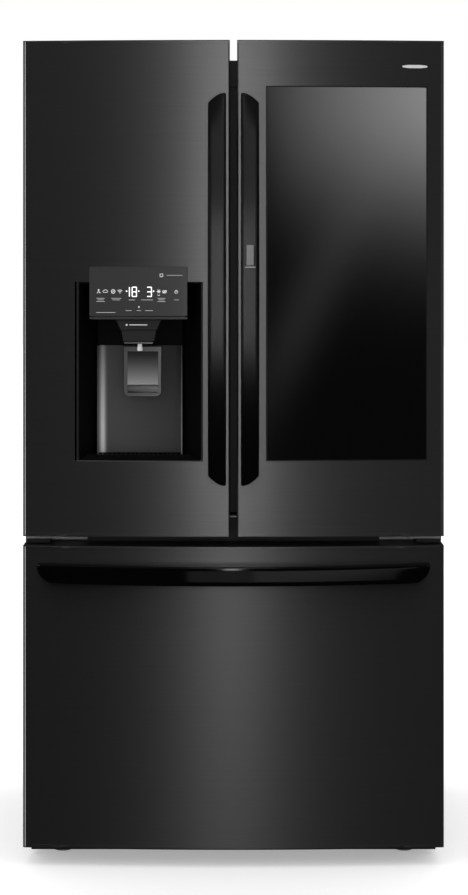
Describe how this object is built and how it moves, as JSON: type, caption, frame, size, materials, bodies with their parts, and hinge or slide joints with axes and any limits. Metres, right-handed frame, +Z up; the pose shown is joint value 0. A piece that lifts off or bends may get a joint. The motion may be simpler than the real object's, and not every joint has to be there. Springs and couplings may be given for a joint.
{
  "type": "french door refrigerator",
  "caption": "Bottom freezer refrigerator with French doors in dark stainless, a door dispenser, a tinted window door inside the right one, arched handles and a wide freezer drawer.",
  "frame": {"origin": "on the floor, under the centre of the overall box, handles included", "axes": "+Z up, front faces -Y, +X to the right of someone facing it"},
  "size_m": [0.912, 0.796, 1.787],
  "materials": {
    "black_stainless": "satin brushed, dark tinted",
    "handle_metal": "gloss black",
    "cabinet_paint": "textured charcoal",
    "rear_steel": "galvanised",
    "chassis_steel": "black painted",
    "foam": "rigid foam",
    "liner_white": "gloss white",
    "trim_black": "satin black",
    "gasket_rubber": "matt",
    "panel_gloss": "piano black",
    "tinted_glass": "dark tinted",
    "clear_glass": "clear",
    "clear_plastic": "clear moulded",
    "light_lens": "frosted",
    "zinc_steel": "zinc plated",
    "roller_plastic": "hard nylon",
    "valve_plastic": "white",
    "fan_plastic": "matt",
    "aluminium_fins": "plain"
  },
  "bodies": {
    "cabinet": {"outer_shell": "cabinet_paint", "rear_cover": "rear_steel", "cabinet_insulation": "foam", "fresh_food_liner": "liner_white", "freezer_liner": "liner_white", "center_rail": "cabinet_paint", "base_frame": "chassis_steel", "leveling_feet": "zinc_steel", "kick_plate": "trim_black", "compressor": "chassis_steel", "condenser": "aluminium_fins", "evaporator_cover": "liner_white", "water_inlet_valve": "valve_plastic", "power_inlet": "trim_black", "hinge_brackets": "zinc_steel", "hinge_covers": "trim_black", "shelf_frames": "liner_white", "glass_shelves": "clear_glass", "crisper_drawers": "clear_plastic", "interior_light": "light_lens", "freezer_fixed_rails": "zinc_steel", "upper_freezer_tray": "clear_plastic"},
    "left_door": {"left_door_skin": "black_stainless", "left_door_caps": "trim_black", "left_door_insulation": "foam", "left_door_liner": "liner_white", "left_door_gasket": "gasket_rubber", "left_door_handle": "handle_metal", "left_door_bins": "clear_plastic", "ice_compartment": "liner_white", "dispenser_recess": "panel_gloss", "dispenser_panel": "panel_gloss", "dispenser_chute": "panel_gloss", "dispenser_tray": "trim_black"},
    "mullion_flap": {"mullion_flap": "trim_black"},
    "dispenser_paddle": {"dispenser_paddle": "panel_gloss"},
    "right_inner_door": {"inner_door_frame": "liner_white", "inner_door_gasket": "gasket_rubber", "storage_case": "liner_white", "case_baskets": "clear_plastic", "window_door_hinges": "zinc_steel"},
    "window_door": {"window_door_skin": "black_stainless", "window_door_caps": "trim_black", "window_door_insulation": "foam", "window_frame": "trim_black", "window_glass": "tinted_glass", "window_door_gasket": "gasket_rubber", "right_door_handle": "handle_metal"},
    "release_button": {"release_button": "handle_metal"},
    "freezer_drawer": {"drawer_skin": "black_stainless", "drawer_trim": "trim_black", "drawer_insulation": "foam", "drawer_gasket": "gasket_rubber", "drawer_handle": "handle_metal", "freezer_basket": "clear_plastic", "drawer_moving_rails": "zinc_steel"},
    "middle_rails": {"drawer_middle_rails": "zinc_steel"},
    "condenser_fan": {"condenser_fan": "fan_plastic"},
    "evaporator_fan": {"evaporator_fan": "fan_plastic"},
    "rear_rollers": {"rear_rollers": "roller_plastic"}
  },
  "joints": [
    {"name": "left_door_hinge", "type": "hinge", "parent": "cabinet", "child": "left_door", "pos_m": [-0.437, -0.262, 1.25], "axis": [0, 0, -1], "range_deg": [0, 105]},
    {"name": "mullion_flap_hinge", "type": "hinge", "parent": "left_door", "child": "mullion_flap", "pos_m": [-0.033, -0.236, 1.225], "axis": [0, 0, 1], "range_deg": [0, 85]},
    {"name": "dispenser_paddle_hinge", "type": "hinge", "parent": "left_door", "child": "dispenser_paddle", "pos_m": [-0.198, -0.29, 1.12], "axis": [1, 0, 0], "range_deg": [0, 10], "stiffness_Nm_per_rad": 1.5, "springref_deg": -2.86},
    {"name": "right_door_hinge", "type": "hinge", "parent": "cabinet", "child": "right_inner_door", "pos_m": [0.437, -0.262, 1.25], "axis": [0, 0, 1], "range_deg": [0, 105]},
    {"name": "window_door_hinge", "type": "hinge", "parent": "right_inner_door", "child": "window_door", "pos_m": [0.446, -0.304, 1.25], "axis": [0, 0, 1], "range_deg": [0, 90]},
    {"name": "release_button_slide", "type": "slide", "parent": "window_door", "child": "release_button", "axis": [0, 1, 0], "range_m": [0, 0.002], "stiffness_N_per_m": 800, "springref_m": -0.001},
    {"name": "freezer_drawer_slide", "type": "slide", "parent": "cabinet", "child": "freezer_drawer", "axis": [0, -1, 0], "range_m": [0, 0.43]},
    {"name": "middle_rail_slide", "type": "slide", "parent": "cabinet", "child": "middle_rails", "axis": [0, -1, 0], "range_m": [0, 0.215]},
    {"name": "condenser_fan_spin", "type": "hinge", "parent": "cabinet", "child": "condenser_fan", "pos_m": [-0.085, 0.294, 0.165], "axis": [1, 0, 0], "continuous": true},
    {"name": "evaporator_fan_spin", "type": "hinge", "parent": "cabinet", "child": "evaporator_fan", "pos_m": [0, 0.274, 0.618], "axis": [0, 1, 0], "continuous": true},
    {"name": "rear_roller_spin", "type": "hinge", "parent": "cabinet", "child": "rear_rollers", "pos_m": [0, 0.335, 0.018], "axis": [1, 0, 0], "continuous": true}
  ],
  "couplings": [
    {"joint": "middle_rail_slide", "follows": "freezer_drawer_slide", "ratio": 0.5}
  ]
}
